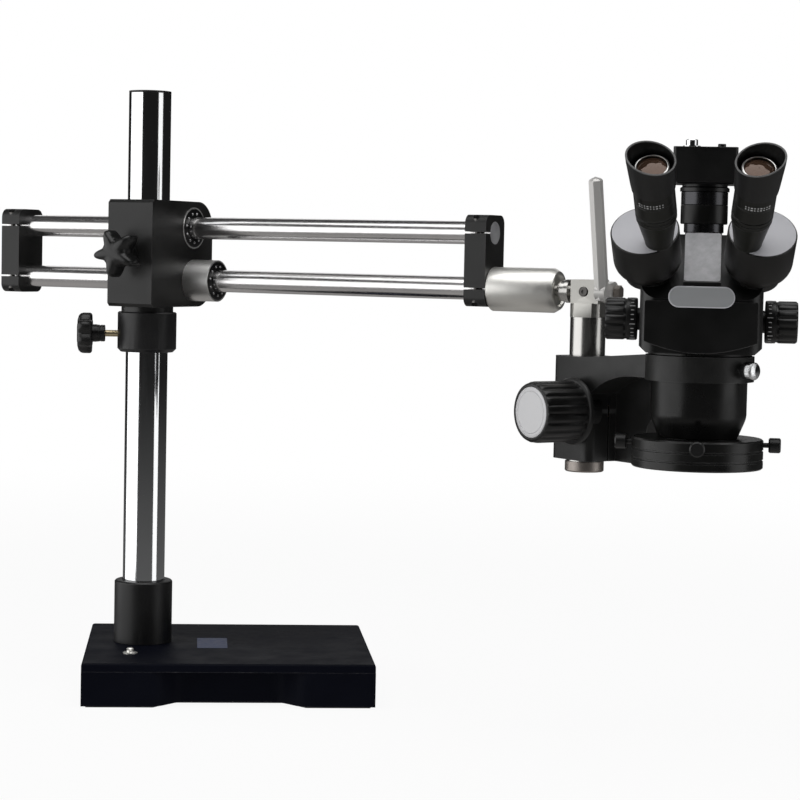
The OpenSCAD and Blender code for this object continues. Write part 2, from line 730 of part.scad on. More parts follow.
module right_eyecup() color([0.05, 0.05, 0.05]) right_pod_frame() eyecup();

// ---- ring light --------------------------------------------------------------------------------

light_r = ring_light_dia / 2;

module ring_light_housing() color([0.06, 0.06, 0.06]) head_frame() difference() {
    turned([
        [light_bore, light_low], [light_bore + 3, light_low], [light_bore + 3, 246], [light_r - 2.5, 246],
        [light_r - 2.5, light_low], [light_r, light_low], [light_r, 244], [light_r - 0.8, 244.6],
        [light_r - 0.8, 246.4], [light_r, 247], [light_r, light_high - 1], [light_r - 1, light_high],
        [light_bore, light_high]]);
    for (a = light_screw_angles) translate([0, 0, light_screw_z]) rotate([0, 0, a]) along_x()
        rod(2, nose_r, light_r + 1);
}

module led_board() color([0.85, 0.85, 0.8]) head_frame() {
    ring(light_r - 2.5, light_bore + 3, 243, 244.6);
    for (a = [0 : 10 : 350]) rotate([0, 0, a]) translate([41, 0, 0]) rod(2.4, 239, 243.5);
}

module light_diffuser() color([0.9, 0.9, 0.9, 0.5]) head_frame()
    ring(light_r - 2.5, light_bore + 3, light_low + 0.5, light_low + 2.5);

module light_screws() color([0.3, 0.3, 0.3]) head_frame()
    for (a = light_screw_angles) translate([0, 0, light_screw_z]) rotate([0, 0, a]) along_x() {
        rod(2, nose_r + gap, light_r + 5);
        turned([
                [0, light_r + 4], [5.2, light_r + 4], [6, light_r + 5], [6, light_r + 12.5],
                [5, light_r + 13.5], [0, light_r + 13.5]]);
    }

// ---- nodes -------------------------------------------------------------------------------------

base_plate();
base_pad();
post_socket();
post();
post_cap();
ground_stud();
safety_collar();
thrust_washer();
collar_knob();
collar_screw();
carriage_block();
swivel_bushings();
upper_bearing();
lower_bearing();
ball_retainers();
star_knob();
upper_rod();
lower_rod();
rear_yoke();
front_yoke();
yoke_screws();
swivel_housing();
tilt_spindle();
tilt_knuckle();
drop_pin();
stop_disc();
lever_bolt();
clamp_lever();
focus_housing();
pinion_bushings();
pinion_shaft();
focus_knobs();
ring_lock_screw();
zoom_body();
objective_barrel();
objective_lenses();
objective_window();
phototube();
video_camera();
camera_connectors();
zoom_shaft();
zoom_knobs();
zoom_carriage();
zoom_lenses();
left_pod();
left_prism();
left_eyetube();
left_eyepiece();
left_eye_lens();
left_eyecup();
right_pod();
right_prism();
right_eyetube();
right_eyepiece();
right_eye_lens();
right_eyecup();
ring_light_housing();
led_board();
light_diffuser();
light_screws();
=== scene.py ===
"""Looks of a trinocular stereo microscope on a twin-rod boom stand, built around its frame."""

import json
import math

import bmesh
import bpy
from mathutils import Matrix, Vector

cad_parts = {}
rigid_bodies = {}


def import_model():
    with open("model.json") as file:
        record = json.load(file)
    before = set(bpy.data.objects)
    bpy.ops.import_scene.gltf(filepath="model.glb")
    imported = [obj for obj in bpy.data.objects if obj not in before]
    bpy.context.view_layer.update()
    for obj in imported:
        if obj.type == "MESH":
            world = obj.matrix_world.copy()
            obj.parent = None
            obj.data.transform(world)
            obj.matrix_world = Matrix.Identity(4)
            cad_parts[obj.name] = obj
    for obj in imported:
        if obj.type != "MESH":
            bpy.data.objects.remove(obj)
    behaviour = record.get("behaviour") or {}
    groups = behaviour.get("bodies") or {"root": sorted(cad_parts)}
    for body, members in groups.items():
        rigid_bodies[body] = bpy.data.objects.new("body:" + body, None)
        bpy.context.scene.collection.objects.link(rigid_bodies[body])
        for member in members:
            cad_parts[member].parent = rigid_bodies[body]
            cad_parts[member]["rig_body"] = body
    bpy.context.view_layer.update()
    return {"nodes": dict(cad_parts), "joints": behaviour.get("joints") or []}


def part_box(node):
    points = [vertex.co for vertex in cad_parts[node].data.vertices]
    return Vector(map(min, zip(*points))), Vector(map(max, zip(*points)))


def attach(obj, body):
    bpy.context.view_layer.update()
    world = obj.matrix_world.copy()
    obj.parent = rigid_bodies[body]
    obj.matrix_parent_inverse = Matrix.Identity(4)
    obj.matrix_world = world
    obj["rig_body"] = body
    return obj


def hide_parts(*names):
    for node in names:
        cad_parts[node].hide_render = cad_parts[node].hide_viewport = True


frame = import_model()

MM = 0.001
TAU = 2 * math.pi
NODES = frame["nodes"]
JOINTS = {joint["name"]: joint for joint in frame["joints"]}
AS_IS = Matrix.Identity(4)

# Places on the object in millimetres, as in the CAD source.
ROD_BACK = 40
ROD_HIGH = 419.2
ROD_LOW = 371.2
COLLAR_KNOB_Z = 321.8
STAR_KNOB_Z = 395.2
SCREW_X = 416.7
TUBE_BACK = 18
EYE_AXIS = (11.5, -12.5)
ZOOM_AXIS = {"y": 20, "z": 351.6}
LIGHT_BORE = 30.6


# ---- frames ---------------------------------------------------------------------------------

def axes_at(origin, x_axis, z_axis, mirrored=False):
    """A frame with millimetres as its unit. x is made square to z; mirrored turns y over."""
    z = Vector(z_axis).normalized()
    x = Vector(x_axis)
    x = (x - x.dot(z) * z).normalized()
    y = z.cross(x)
    if mirrored:
        y = -y
    turn = Matrix((x, y, z)).transposed().to_4x4()
    return Matrix.Translation(Vector(origin)) @ turn @ Matrix.Scale(MM, 4)


def joint_at(name):
    return Vector(JOINTS[name]["pos_m"])


def joint_axis(name):
    return Vector(JOINTS[name]["axis"])


def node_centre(name):
    low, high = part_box(name)
    return (low + high) / 2


def flat(point):
    """The point dropped to the floor."""
    return Vector((point[0], point[1], 0))


UP = Vector((0, 0, 1))
STAND = axes_at((0, 0, 0), (1, 0, 0), UP)
BOOM = axes_at((0, 0, 0), joint_axis("boom_reach"), UP)
PIN_FOOT = flat(node_centre("stop_disc"))
HEAD_FOOT = flat(joint_at("head_turn"))
ARM = axes_at(PIN_FOOT, HEAD_FOOT - PIN_FOOT, UP)
HEAD = axes_at(HEAD_FOOT, joint_axis("zoom_turn"), UP)
POD = {
    "left": axes_at(
        joint_at("left_pod_turn"), joint_axis("zoom_turn"), joint_axis("left_pod_turn")),
    "right": axes_at(
        joint_at("right_pod_turn"), -joint_axis("zoom_turn"), joint_axis("right_pod_turn"), True),
}


def offset(place, x=0.0, y=0.0, z=0.0):
    """A frame moved by millimetres along its own axes."""
    return place @ Matrix.Translation((x, y, z))


def turned(place, axis, degrees):
    return place @ Matrix.Rotation(math.radians(degrees), 4, axis)


def span(node, place):
    """Lowest and highest corner of a CAD node in a local frame, in millimetres."""
    inverse = place.inverted()
    points = [inverse @ v.co for v in NODES[node].data.vertices]
    low = Vector([min(p[i] for p in points) for i in range(3)])
    high = Vector([max(p[i] for p in points) for i in range(3)])
    return low, high


# ---- mesh code ------------------------------------------------------------------------------

def rounded(points, radius, steps=4, skip=()):
    """A closed outline with its corners rounded off. skip lists corners that stay sharp."""
    result = []
    count = len(points)
    for i, point in enumerate(points):
        corner = Vector(point)
        if i in skip:
            result.append(tuple(corner))
            continue
        before = Vector(points[i - 1]) - corner
        after = Vector(points[(i + 1) % count]) - corner
        cut = min(radius, 0.45 * before.length, 0.45 * after.length)
        start = corner + before.normalized() * cut
        end = corner + after.normalized() * cut
        for k in range(steps + 1):
            t = k / steps
            result.append(tuple((1 - t) ** 2 * start + 2 * t * (1 - t) * corner + t * t * end))
    return result


def lathe(profile, segments=96, shape=None, closed=True):
    """A solid of revolution about z. shape(angle, radius, z) may push a point in or out."""
    bm = bmesh.new()
    rings = []
    for radius, z in profile:
        if radius < 1e-6:
            rings.append([bm.verts.new((0, 0, z))])
            continue
        ring = []
        for k in range(segments):
            angle = TAU * k / segments
            r = shape(angle, radius, z) if shape else radius
            ring.append(bm.verts.new((r * math.cos(angle), r * math.sin(angle), z)))
        rings.append(ring)
    pairs = list(zip(rings, rings[1:]))
    if closed and len(rings[0]) > 1 and len(rings[-1]) > 1:
        pairs.append((rings[-1], rings[0]))
    for low, high in pairs:
        for k in range(segments):
            nxt = (k + 1) % segments
            if len(low) == 1 and len(high) == 1:
                break
            if len(low) == 1:
                bm.faces.new((low[0], high[nxt], high[k]))
            elif len(high) == 1:
                bm.faces.new((low[k], low[nxt], high[0]))
            else:
                bm.faces.new((low[k], low[nxt], high[nxt], high[k]))
    bmesh.ops.recalc_face_normals(bm, faces=bm.faces)
    return bm


def skinned(rings, looped=False):
    """A closed skin over rings of (x, y, z): capped at both ends, or looped back to the first."""
    bm = bmesh.new()
    loops = [[bm.verts.new(point) for point in ring] for ring in rings]
    pairs = list(zip(loops, loops[1:]))
    if looped:
        pairs.append((loops[-1], loops[0]))
    for low, high in pairs:
        for k in range(len(low)):
            nxt = (k + 1) % len(low)
            bm.faces.new((low[k], low[nxt], high[nxt], high[k]))
    if not looped:
        bm.faces.new(loops[0])
        bm.faces.new(loops[-1])
    bmesh.ops.recalc_face_normals(bm, faces=bm.faces)
    return bm


def prism(outline, low, high):
    """An outline pushed up from one height to another."""
    return skinned([[(x, y, z) for x, y in outline] for z in (low, high)])


def stacked(outline, stations, segments=160):
    """A knob: outline(angle) is its radius, stations lists (z, scale) from end to end."""
    angles = [TAU * k / segments for k in range(segments)]
    return skinned([
        [(scale * outline(a) * math.cos(a), scale * outline(a) * math.sin(a), z) for a in angles]
        for z, scale in stations])


def rounded_box(low_x, low_y, high_x, high_y, radius, inset=0.0):
    """Outline of a rectangle with round corners, pulled in by an inset."""
    x0, y0, x1, y1 = low_x + inset, low_y + inset, high_x - inset, high_y - inset
    return rounded([(x0, y0), (x1, y0), (x1, y1), (x0, y1)], radius)


def grooved(count, depth, low, high, power=3.0):
    """A lathe shape that cuts evenly spaced grooves between two heights."""
    def shape(angle, radius, z):
        cut = depth * (0.5 + 0.5 * math.cos(count * angle)) ** power
        return radius - cut if low <= z <= high else radius
    return shape


def joined(parts):
    """One bmesh from several (bmesh, matrix) pairs."""
    whole = bmesh.new()
    for bm, matrix in parts:
        bm.transform(matrix)
        mesh = bpy.data.meshes.new("part")
        bm.to_mesh(mesh)
        bm.free()
        whole.from_mesh(mesh)
        bpy.data.meshes.remove(mesh)
    return whole


def piece(name, bm, place, body, material, replaces=(), bevel=0.0, sharp=32):
    """Puts a mesh in the scene as one piece of the object."""
    mesh = bpy.data.meshes.new(name)
    bm.to_mesh(mesh)
    bm.free()
    mesh.transform(place)
    if place.determinant() < 0:
        mesh.flip_normals()
    mesh.materials.append(material)
    obj = bpy.data.objects.new(name, mesh)
    bpy.context.scene.collection.objects.link(obj)
    finish_surface(obj, bevel, sharp)
    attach(obj, body)
    if replaces:
        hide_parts(*replaces)
    return obj


def finish_surface(obj, bevel, sharp):
    """Smooth shading between sharp edges, and rounded edges where bevel is given (millimetres)."""
    mesh = obj.data
    mesh.polygons.foreach_set("use_smooth", [True] * len(mesh.polygons))
    mesh.set_sharp_from_angle(angle=math.radians(sharp))
    if bevel:
        soft = obj.modifiers.new("edges", "BEVEL")
        soft.width = bevel * MM
        soft.segments = 3
        soft.limit_method = "ANGLE"
        soft.angle_limit = math.radians(sharp)
        soft.harden_normals = True
        soft.use_clamp_overlap = True


def softened(node, name, material, bevel, sharp=32):
    """A copy of a CAD node with its sharp edges rounded, shown in the node's place."""
    bm = bmesh.new()
    bm.from_mesh(NODES[node].data)
    bmesh.ops.remove_doubles(bm, verts=bm.verts, dist=1e-6)
    bmesh.ops.dissolve_limit(
        bm, angle_limit=math.radians(0.6), verts=bm.verts, edges=bm.edges, delimit={"NORMAL"})
    body = NODES[node]["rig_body"]
    return piece(name, bm, AS_IS, body, material, (node,), bevel, sharp)


def coat(node, material):
    """Gives a carried-over CAD node its material."""
    obj = NODES[node]
    for held in obj.material_slots:
        held.material = material
    obj.data.polygons.foreach_set("use_smooth", [True] * len(obj.data.polygons))


# ---- materials ------------------------------------------------------------------------------

class Graph:
    """A material's nodes, with short calls to add and join them."""

    def __init__(self, name):
        self.material = bpy.data.materials.new(name)
        self.material.use_nodes = True
        self.tree = self.material.node_tree
        self.shader = self.tree.nodes["Principled BSDF"]

    def add(self, kind, inputs=None, **settings):
        node = self.tree.nodes.new(kind)
        for key, value in settings.items():
            setattr(node, key, value)
        for key, value in (inputs or {}).items():
            if isinstance(value, bpy.types.NodeSocket):
                self.tree.links.new(value, node.inputs[key])
            else:
                node.inputs[key].default_value = value
        return node

    def set(self, **values):
        for key, value in values.items():
            self.shader.inputs[key.replace("_", " ")].default_value = value

    def link(self, socket, name):
        self.tree.links.new(socket, self.shader.inputs[name])

    def coordinates(self, stretch=(1, 1, 1)):
        where = self.add("ShaderNodeTexCoord")
        mapped = self.add(
            "ShaderNodeMapping", {"Vector": where.outputs["Object"], "Scale": stretch})
        return mapped.outputs["Vector"]

    def noise(self, where, scale, detail=3.0, rough=0.5):
        return self.add(
            "ShaderNodeTexNoise",
            {"Vector": where, "Scale": scale, "Detail": detail, "Roughness": rough}).outputs["Fac"]

    def spread(self, value, low, high, start=0.3, end=0.7):
        return self.add(
            "ShaderNodeMapRange",
            {"Value": value, "From Min": start, "From Max": end, "To Min": low, "To Max": high},
        ).outputs["Result"]

    def mix(self, factor, first, second):
        node = self.add("ShaderNodeMix", {"Factor": factor}, data_type="RGBA")
        for socket, value in ((node.inputs[6], first), (node.inputs[7], second)):
            if isinstance(value, bpy.types.NodeSocket):
                self.tree.links.new(value, socket)
            else:
                socket.default_value = (*value, 1)
        return node.outputs[2]

    def bump(self, height, strength, distance):
        node = self.add(
            "ShaderNodeBump", {"Height": height, "Strength": strength, "Distance": distance})
        self.link(node.outputs["Normal"], "Normal")

    def edges(self, radius, low=0.02, high=0.16):
        """1 on convex and concave edges within a radius, 0 on flat ground."""
        soft = self.add("ShaderNodeBevel", {"Radius": radius}, samples=4)
        plain = self.add("ShaderNodeNewGeometry")
        facing = self.add(
            "ShaderNodeVectorMath",
            {0: soft.outputs["Normal"], 1: plain.outputs["Normal"]}, operation="DOT_PRODUCT")
        return self.spread(facing.outputs["Value"], 1.0, 0.0, 1 - high, 1 - low)


def shade(colour, factor):
    return tuple(min(c * factor, 1.0) for c in colour)


def painted(name, colour, rough=0.42, grain=1500.0, depth=0.12, tint=0.25, edge_wear_and_sheen=None, metal=0.0,
            mottle=30.0, spread=0.08, stretch=(1, 1, 1), gloss=0.5):
    """Paint, moulded plastic or rubber: fine grain, uneven gloss, and paler edges, partly edge
    wear and partly a painted highlight.
    """
    g = Graph(name)
    where = g.coordinates(stretch)
    fine = g.noise(where, grain, 2.0)
    broad = g.noise(where, mottle, 4.0, 0.6)
    base = g.mix(g.spread(broad, 0, 1), shade(colour, 1 - tint), shade(colour, 1 + tint))
    # Pale colour on convex and concave edges: part edge wear, part painted highlight.
    if edge_wear_and_sheen:
        wear_and_sheen_edges = g.edges(0.0008)
        patch = g.spread(g.noise(where, 90.0, 4.0), 0.25, 1.0)
        wear_and_sheen_amount = g.add("ShaderNodeMath", {0: wear_and_sheen_edges, 1: patch}, operation="MULTIPLY").outputs[0]
        base = g.mix(wear_and_sheen_amount, base, edge_wear_and_sheen)
    g.link(base, "Base Color")
    g.link(g.spread(broad, rough - spread, rough + spread), "Roughness")
    g.set(Metallic=metal, Specular_IOR_Level=gloss)
    g.bump(fine, depth, 0.0002)
    return g.material


def bright_metal(name, colour, rough=0.08, grain=400.0, stretch=(1, 1, 1), depth=0.02, spread=0.03,
                 tint=0.04):
    """Chrome, polished or machined metal: drawn-out marks in its gloss and its surface."""
    g = Graph(name)
    where = g.coordinates(stretch)
    marks = g.noise(where, grain, 4.0, 0.6)
    smears = g.noise(g.coordinates(), 14.0, 3.0)
    tone = g.mix(g.spread(smears, 0, 1), shade(colour, 1 - tint), shade(colour, 1 + tint))
    g.link(tone, "Base Color")
    g.link(g.spread(marks, rough - spread, rough + spread), "Roughness")
    g.set(Metallic=1.0)
    g.bump(marks, depth, 0.0001)
    return g.material


def glass(name, colour, rough=0.02, through=1.0, metal=0.0, ior=1.52):
    """Lens, prism or window glass with a faint smear in its gloss."""
    g = Graph(name)
    smears = g.noise(g.coordinates(), 60.0, 3.0)
    tone = g.mix(g.spread(smears, 0, 1), shade(colour, 0.96), shade(colour, 1.02))
    g.link(tone, "Base Color")
    g.link(g.spread(smears, rough, rough + 0.03), "Roughness")
    g.set(Transmission_Weight=through, IOR=ior, Metallic=metal)
    g.bump(smears, 0.02, 0.0001)
    return g.material


# Pale edge colours: part edge wear, part painted highlight.
EDGE_WEAR_AND_SHEEN = (0.07, 0.07, 0.07)
FAINT_EDGE_WEAR_AND_SHEEN = (0.04, 0.04, 0.04)
M = {
    "base": painted(
        "navy_black_paint", (0.0031, 0.0037, 0.0078), 0.5, tint=0.08, edge_wear_and_sheen=(0.1, 0.1, 0.105),
        gloss=0.055),
    "paint": painted("black_satin_paint", (0.008, 0.008, 0.0085), 0.4, edge_wear_and_sheen=EDGE_WEAR_AND_SHEEN),
    "cast": painted(
        "black_cast_paint", (0.0125, 0.0125, 0.0122), 0.4, grain=900.0, depth=0.25, edge_wear_and_sheen=EDGE_WEAR_AND_SHEEN,
        gloss=0.4),
    "shell": painted("black_shell_paint", (0.0045, 0.0045, 0.0045), 0.38, edge_wear_and_sheen=FAINT_EDGE_WEAR_AND_SHEEN),
    # The cover's pale edges are mostly a painted highlight, strongest along its curved lower edge.
    "cover": painted("black_cover_paint", (0.0045, 0.0045, 0.0045), 0.38, edge_wear_and_sheen=(0.16, 0.16, 0.16)),
    "drum": painted(
        "black_drum_paint", (0.0055, 0.0051, 0.0047), 0.42, edge_wear_and_sheen=FAINT_EDGE_WEAR_AND_SHEEN, gloss=0.38),
    "barrel": painted(
        "black_barrel_paint", (0.0035, 0.0035, 0.0033), 0.32, edge_wear_and_sheen=(0.05, 0.05, 0.05), gloss=0.38),
    "light_ring": painted(
        "black_ring_light", (0.005, 0.005, 0.0047), 0.3, edge_wear_and_sheen=(0.09, 0.09, 0.09), gloss=0.4),
    "ocular": painted(
        "black_ocular", (0.0055, 0.0057, 0.0043), 0.36, depth=0.08, edge_wear_and_sheen=EDGE_WEAR_AND_SHEEN, gloss=0.32),
    "plastic": painted("black_plastic", (0.007, 0.007, 0.007), 0.36, depth=0.08),
    "rubber": painted(
        "black_rubber", (0.006, 0.006, 0.006), 0.48, grain=2400.0, depth=0.3, gloss=0.4),
    # Pale grey that paints the highlight on the eyecups' rims.
    "rim": painted("rubber_rim_painted_highlight", (0.11, 0.11, 0.11), 0.45, grain=2400.0),
    "pad": painted("pad_rubber", (0.015, 0.015, 0.015), 0.75, grain=1200.0, depth=0.5),
    # Light grey that paints the overhead light's reflection on the drums' and the spine's black
    # faces; the nameplate's rim shares the drum faces' grey.
    "cap_face": painted(
        "grey_face_painted_sheen", (0.52, 0.52, 0.55), 0.42, grain=1800.0, depth=0.1, tint=0.04),
    "spine_sheen": painted(
        "brushed_plate_painted_sheen", (0.4, 0.4, 0.415), 0.4, grain=1300.0, depth=0.25, tint=0.16,
        mottle=160.0),
    "nameplate": painted(
        "grey_nameplate", (0.36, 0.37, 0.38), 0.42, grain=700.0, depth=0.15, tint=0.06,
        metal=0.3, stretch=(0.2, 1, 1)),
    "silver_cap": painted(
        "silver_grey_cap", (0.6, 0.6, 0.61), 0.4, grain=2000.0, depth=0.1, tint=0.05, metal=0.2),
    "dark_trim": painted("dark_trim", (0.003, 0.003, 0.0035), 0.35),
    "label": painted(
        "blue_grey_label", (0.036, 0.05, 0.115), 0.4, depth=0.05, tint=0.2, mottle=200.0),
    "board": painted("white_circuit_board", (0.75, 0.76, 0.72), 0.5),
    "marks": painted("white_marks", (0.4, 0.4, 0.4), 0.6),
    "chrome": bright_metal("chrome", (0.86, 0.87, 0.88), 0.08, 220.0, (1, 1, 0.06)),
    "dark_chrome": bright_metal("dark_chrome", (0.07, 0.07, 0.075), 0.26, 300.0),
    "ball_steel": bright_metal("ball_steel", (0.5, 0.5, 0.51), 0.22, 300.0),
    "rod_chrome": bright_metal(
        "rod_chrome", (0.84, 0.83, 0.83), 0.22, 120.0, (0.1, 0.1, 1), depth=0.003, spread=0.02),
    "ground_steel": bright_metal(
        "ground_steel", (0.58, 0.57, 0.55), 0.24, 900.0, (1, 1, 0.04), 0.02),
    "satin_steel": painted(
        "satin_steel", (0.7, 0.69, 0.67), 0.42, grain=900.0, depth=0.12, tint=0.06, metal=0.45,
        stretch=(1, 1, 0.06)),
    "satin_alloy": bright_metal(
        "satin_alloy", (0.56, 0.55, 0.52), 0.38, 1100.0, (0.2, 1, 1), 0.08),
    "stop_steel": bright_metal(
        "stop_steel", (0.42, 0.38, 0.35), 0.45, 900.0, depth=0.1, spread=0.08),
    "dark_steel": bright_metal(
        "dark_steel", (0.13, 0.125, 0.12), 0.35, 700.0, depth=0.1, spread=0.08),
    "lens_ring": bright_metal("lens_ring", (0.85, 0.84, 0.82), 0.3, 900.0, depth=0.04),
    "turned_alloy": bright_metal(
        "turned_alloy", (0.95, 0.94, 0.9), 0.42, 90.0, depth=0.004, spread=0.04),
    "sleeve": bright_metal("bright_sleeve", (0.98, 0.97, 0.95), 0.45, 90.0, depth=0.004),
    "end_face": painted("sawn_rod_end", (0.3, 0.3, 0.31), 0.4, grain=900.0, depth=0.1, metal=0.3),
    "bronze": bright_metal("bronze", (0.6, 0.42, 0.2), 0.3, 500.0, depth=0.06),
    "brass": bright_metal("brass", (0.74, 0.62, 0.4), 0.3, 500.0, depth=0.03),
    "lens": glass("lens_glass", (0.9, 0.95, 0.93)),
    "prism": glass("prism_glass", (0.94, 0.96, 0.97)),
    "coated": glass("coated_eye_lens", (0.13, 0.075, 0.05), 0.05, through=0.35, metal=0.3),
    "frosted": glass("frosted_diffuser", (0.9, 0.9, 0.88), 0.55, through=0.5),
}


# ---- stage, light and camera ----------------------------------------------------------------

def add_camera():
    """The view from in front of the stand, a little above its middle."""
    position = Vector((0.0456, -2.0971, 0.4000))
    yaw, pitch, roll = math.radians(5.11), math.radians(3.67), math.radians(1.22)
    forward = Vector((
        math.sin(yaw) * math.cos(pitch), math.cos(yaw) * math.cos(pitch), -math.sin(pitch)))
    level = Vector((math.cos(yaw), -math.sin(yaw), 0))
    above = level.cross(forward)
    right = math.cos(roll) * level + math.sin(roll) * above
    up = right.cross(forward)
    camera = bpy.data.cameras.new("camera")
    camera.lens = 102.8
    camera.sensor_width = 36.0
    camera.clip_end = 50.0
    obj = bpy.data.objects.new("camera", camera)
    turn = Matrix((right, up, -forward)).transposed().to_4x4()
    obj.matrix_world = Matrix.Translation(position) @ turn
    bpy.context.scene.collection.objects.link(obj)
    bpy.context.scene.camera = obj


def softbox(name, position, target, width, height, radiance, tint=(1, 1, 1)):
    """A rectangular light of a given brightness, pointing at a target."""
    light = bpy.data.lights.new(name, "AREA")
    light.shape = "RECTANGLE"
    light.size = width
    light.size_y = height
    light.energy = radiance * width * height * math.pi
    light.color = tint
    obj = bpy.data.objects.new(name, light)
    aim = (Vector(target) - Vector(position)).to_track_quat("-Z", "Y")
    obj.matrix_world = Matrix.Translation(Vector(position)) @ aim.to_matrix().to_4x4()
    obj.visible_camera = False
    bpy.context.scene.collection.objects.link(obj)


def add_lights():
    """A large panel on the left, a strip on the right, one overhead and one behind."""
    softbox("left_panel", (-1.5, -0.45, 0.55), (0.0, -0.45, 0.5), 2.7, 1.5, 1.5)
    softbox("right_strip", (1.9, -1.0, 0.5), (0.2, -0.2, 0.4), 1.0, 1.6, 1.1)
    softbox("overhead", (0.25, -0.75, 1.95), (0.25, -0.75, 0.0), 2.6, 1.7, 1.9)
    softbox("back_panel", (0.3, 2.2, 1.4), (0.2, 0.0, 0.3), 2.2, 1.0, 0.9)


def add_world():
    """What polished parts see besides the lights: grey below, dark at eye level and above."""
    world = bpy.data.worlds.new("studio")
    world.use_nodes = True
    tree = world.node_tree
    where = tree.nodes.new("ShaderNodeTexCoord")
    height = tree.nodes.new("ShaderNodeSeparateXYZ")
    ramp = tree.nodes.new("ShaderNodeValToRGB")
    shift = tree.nodes.new("ShaderNodeMapRange")
    shift.inputs["From Min"].default_value = -1.0
    shift.inputs["From Max"].default_value = 1.0
    tree.links.new(where.outputs["Generated"], height.inputs[0])
    tree.links.new(height.outputs["Z"], shift.inputs["Value"])
    tree.links.new(shift.outputs["Result"], ramp.inputs["Fac"])
    ramp.color_ramp.elements[0].color = (0.34, 0.33, 0.32, 1)
    ramp.color_ramp.elements[1].color = (0.05, 0.05, 0.05, 1)
    for place, grey in ((0.40, 0.16), (0.47, 0.012), (0.56, 0.01)):
        ramp.color_ramp.elements.new(place).color = (grey, grey, grey, 1)
    tree.links.new(ramp.outputs["Color"], tree.nodes["Background"].inputs["Color"])
    bpy.context.scene.world = world


FLOOR_R = 2.4
DOME_R = 9.0


def floor_material():
    """Pale floor that brightens into the backdrop with distance from the object."""
    g = Graph("pale_floor")
    where = g.coordinates()
    grain = g.noise(where, 220.0, 2.0)
    g.link(g.mix(g.spread(grain, 0, 1), (0.86, 0.86, 0.86), (0.9, 0.9, 0.9)), "Base Color")
    g.set(Roughness=0.9)
    distance = g.add("ShaderNodeVectorMath", {0: where}, operation="LENGTH").outputs["Value"]
    fade = g.add("ShaderNodeMapRange", {
        "Value": distance, "From Min": 0.5, "From Max": 2.2, "To Min": 0.93, "To Max": 1.0,
    }, interpolation_type="SMOOTHSTEP").outputs["Result"]
    glow = g.add("ShaderNodeEmission", {"Color": (1, 1, 1, 1), "Strength": 1.0})
    both = g.add("ShaderNodeMixShader", {
        0: fade, 1: g.shader.outputs[0], 2: glow.outputs[0]})
    g.tree.links.new(both.outputs[0], g.tree.nodes["Material Output"].inputs["Surface"])
    return g.material


def add_stage():
    """The floor and a white backdrop all round. Neither shows in the object's reflections."""
    floor = bpy.data.meshes.new("floor")
    bm = bmesh.new()
    bmesh.ops.create_circle(bm, cap_ends=True, segments=128, radius=FLOOR_R)
    bm.to_mesh(floor)
    bm.free()
    floor.materials.append(floor_material())
    dome = bpy.data.meshes.new("backdrop")
    bm = bmesh.new()
    bmesh.ops.create_uvsphere(bm, u_segments=64, v_segments=32, radius=DOME_R)
    bm.to_mesh(dome)
    bm.free()
    white = Graph("backdrop_white")
    glow = white.add("ShaderNodeEmission", {"Color": (1, 1, 1, 1), "Strength": 1.0})
    white.tree.links.new(glow.outputs[0], white.tree.nodes["Material Output"].inputs["Surface"])
    dome.materials.append(white.material)
    for mesh in (floor, dome):
        obj = bpy.data.objects.new(mesh.name, mesh)
        bpy.context.scene.collection.objects.link(obj)
        obj.visible_glossy = False
    backdrop = bpy.data.objects["backdrop"]
    backdrop.visible_diffuse = False
    backdrop.visible_transmission = False
    backdrop.visible_shadow = False


add_camera()
add_lights()
add_world()
add_stage()
bpy.context.scene.view_settings.view_transform = "Standard"


# ---- stand and carriage ---------------------------------------------------------------------

def add_base():
    """The plate with its soft top edge, the finger recess and a blank label."""
    low, high = span("base_plate", STAND)
    lip = high.z - 7.5
    recess = low.y + 22
    outline = [
        (low.x, low.y), (16, low.y), (35, recess), (123, recess), (142, low.y), (high.x, low.y),
        (high.x, high.y), (low.x, high.y)]
    foot = prism(rounded(outline, 9, 8, skip=(0, 5, 6, 7)), low.z, lip)
    top = skinned([
        [(x, y, z) for x, y in rounded_box(low.x, low.y, high.x, high.y, 1.6, inset)]
        for z, inset in ((lip, 0), (high.z - 2.2, 0), (high.z - 1.3, 0.25), (high.z - 0.5, 0.8),
                         (high.z, 1.9))])
    whole = joined([(foot, AS_IS), (top, AS_IS)])
    piece("base_casting", whole, STAND, "stand", M["base"], ("base_plate",))
    label = prism(rounded_box(50, -37, 77.5, 16, 2), high.z - 0.1, high.z + 0.2)
    piece("base_label", label, STAND, "stand", M["label"])


def add_collar_knob():
    """The six-lobed wheel on the height collar's screw."""
    place = turned(offset(STAND, z=COLLAR_KNOB_Z), "Y", -90)
    wheel = stacked(
        lambda a: 14.6 + 3.9 * (0.5 + 0.5 * math.cos(6 * a)) ** 0.7,
        [(49.6, 0.9), (50.4, 0.97), (51.6, 1), (57.5, 1), (60, 0.96), (61.8, 0.86), (62.9, 0.65),
         (63.2, 0.3)])
    hub = lathe([
        (3.05, 37.9), (7, 37.9), (7.6, 38.5), (7.6, 41.8), (7.3, 42), (7.3, 42.6), (7.6, 42.8),
        (8, 46.4), (8, 50.5), (3.05, 50.5)])
    whole = joined([(wheel, AS_IS), (hub, AS_IS)])
    piece("collar_wheel", whole, place, "collar_clamp", M["plastic"],
          ("collar_knob",), sharp=40)


